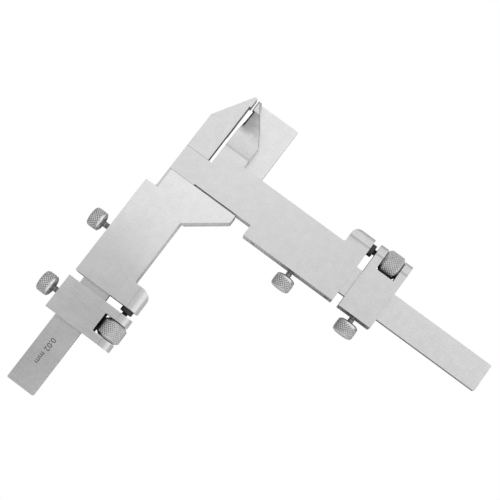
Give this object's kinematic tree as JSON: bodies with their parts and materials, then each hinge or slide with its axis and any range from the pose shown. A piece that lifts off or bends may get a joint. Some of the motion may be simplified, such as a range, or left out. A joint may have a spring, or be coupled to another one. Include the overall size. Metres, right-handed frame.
{
  "type": "gear tooth vernier caliper",
  "caption": "Gear tooth vernier caliper with a sliding jaw, a height blade, and a fine adjustment nut and clamping screws on each beam.",
  "frame": {"origin": "under the middle of the tool's box, level with its lowest point, the underside of the knurled nuts", "axes": "+X along the long beam away from the jaws, +Y towards the jaw tips, +Z out of the plain back; the graduated side faces down"},
  "size_m": [0.1828, 0.1658, 0.0119],
  "materials": {
    "ground_steel": "fine satin grind",
    "bright_steel": "turned and knurled, satin chrome",
    "black_steel": "black oxide",
    "bronze": "cold rolled bronze strip"
  },
  "bodies": {
    "frame": {"main_frame": "ground_steel", "fixed_jaw": "ground_steel", "fixed_jaw_screws": "bright_steel"},
    "jaw_slide": {"jaw_slide": "ground_steel", "long_vernier": "ground_steel", "long_vernier_screws": "bright_steel", "long_fine_screw": "bright_steel", "long_lock_collar": "black_steel"},
    "long_gib": {"long_gib": "bronze"},
    "long_clamp_screw": {"long_clamp_screw": "bright_steel"},
    "long_carriage": {"long_carriage": "ground_steel"},
    "long_carriage_gib": {"long_carriage_gib": "bronze"},
    "long_carriage_clamp_screw": {"long_carriage_clamp_screw": "bright_steel"},
    "long_fine_nut": {"long_fine_nut": "bright_steel"},
    "height_slide": {"height_slide": "ground_steel", "height_blade": "ground_steel", "height_blade_screws": "bright_steel", "short_vernier": "ground_steel", "short_vernier_screws": "bright_steel", "short_fine_screw": "bright_steel", "short_lock_collar": "black_steel"},
    "short_gib": {"short_gib": "bronze"},
    "short_clamp_screw": {"short_clamp_screw": "bright_steel"},
    "short_carriage": {"short_carriage": "ground_steel"},
    "short_carriage_gib": {"short_carriage_gib": "bronze"},
    "short_carriage_clamp_screw": {"short_carriage_clamp_screw": "bright_steel"},
    "short_fine_nut": {"short_fine_nut": "bright_steel"}
  },
  "joints": [
    {"name": "jaw_travel", "type": "slide", "parent": "frame", "child": "jaw_slide", "axis": [1, 0, 0], "range_m": [-0.00095, 0.041]},
    {"name": "height_travel", "type": "slide", "parent": "frame", "child": "height_slide", "axis": [0, -1, 0], "range_m": [0, 0.027]},
    {"name": "long_fine_travel", "type": "slide", "parent": "jaw_slide", "child": "long_carriage", "axis": [1, 0, 0], "range_m": [-0.0008, 0.005]},
    {"name": "long_nut_turn", "type": "hinge", "parent": "long_carriage", "child": "long_fine_nut", "pos_m": [0.02965, 0.0581, 0.00595], "axis": [1, 0, 0], "range_deg": [-580, 3605]},
    {"name": "long_gib_travel", "type": "slide", "parent": "jaw_slide", "child": "long_gib", "axis": [0, -1, 0], "range_m": [0, 0.0003]},
    {"name": "long_clamp_turn", "type": "hinge", "parent": "long_gib", "child": "long_clamp_screw", "pos_m": [-0.00475, 0.02285, 0.00595], "axis": [0, -1, 0], "range_deg": [0, 217]},
    {"name": "long_carriage_gib_travel", "type": "slide", "parent": "long_carriage", "child": "long_carriage_gib", "axis": [0, -1, 0], "range_m": [0, 0.0003]},
    {"name": "long_carriage_clamp_turn", "type": "hinge", "parent": "long_carriage_gib", "child": "long_carriage_clamp_screw", "pos_m": [0.0296, 0.02285, 0.00595], "axis": [0, -1, 0], "range_deg": [0, 217]},
    {"name": "short_fine_travel", "type": "slide", "parent": "height_slide", "child": "short_carriage", "axis": [0, -1, 0], "range_m": [-0.0008, 0.005]},
    {"name": "short_nut_turn", "type": "hinge", "parent": "short_carriage", "child": "short_fine_nut", "pos_m": [-0.0525, -0.04005, 0.00595], "axis": [0, -1, 0], "range_deg": [-580, 3605]},
    {"name": "short_gib_travel", "type": "slide", "parent": "height_slide", "child": "short_gib", "axis": [-1, 0, 0], "range_m": [0, 0.0003]},
    {"name": "short_clamp_turn", "type": "hinge", "parent": "short_gib", "child": "short_clamp_screw", "pos_m": [-0.08775, -0.00395, 0.00595], "axis": [-1, 0, 0], "range_deg": [0, 217]},
    {"name": "short_carriage_gib_travel", "type": "slide", "parent": "short_carriage", "child": "short_carriage_gib", "axis": [-1, 0, 0], "range_m": [0, 0.0003]},
    {"name": "short_carriage_clamp_turn", "type": "hinge", "parent": "short_carriage_gib", "child": "short_carriage_clamp_screw", "pos_m": [-0.08775, -0.04, 0.00595], "axis": [-1, 0, 0], "range_deg": [0, 217]}
  ],
  "couplings": [
    {"joint": "long_nut_turn", "follows": "long_fine_travel", "rad_per_m": 12566},
    {"joint": "long_clamp_turn", "follows": "long_gib_travel", "rad_per_m": 12566},
    {"joint": "long_carriage_clamp_turn", "follows": "long_carriage_gib_travel", "rad_per_m": 12566},
    {"joint": "short_nut_turn", "follows": "short_fine_travel", "rad_per_m": 12566},
    {"joint": "short_clamp_turn", "follows": "short_gib_travel", "rad_per_m": 12566},
    {"joint": "short_carriage_clamp_turn", "follows": "short_carriage_gib_travel", "rad_per_m": 12566}
  ]
}
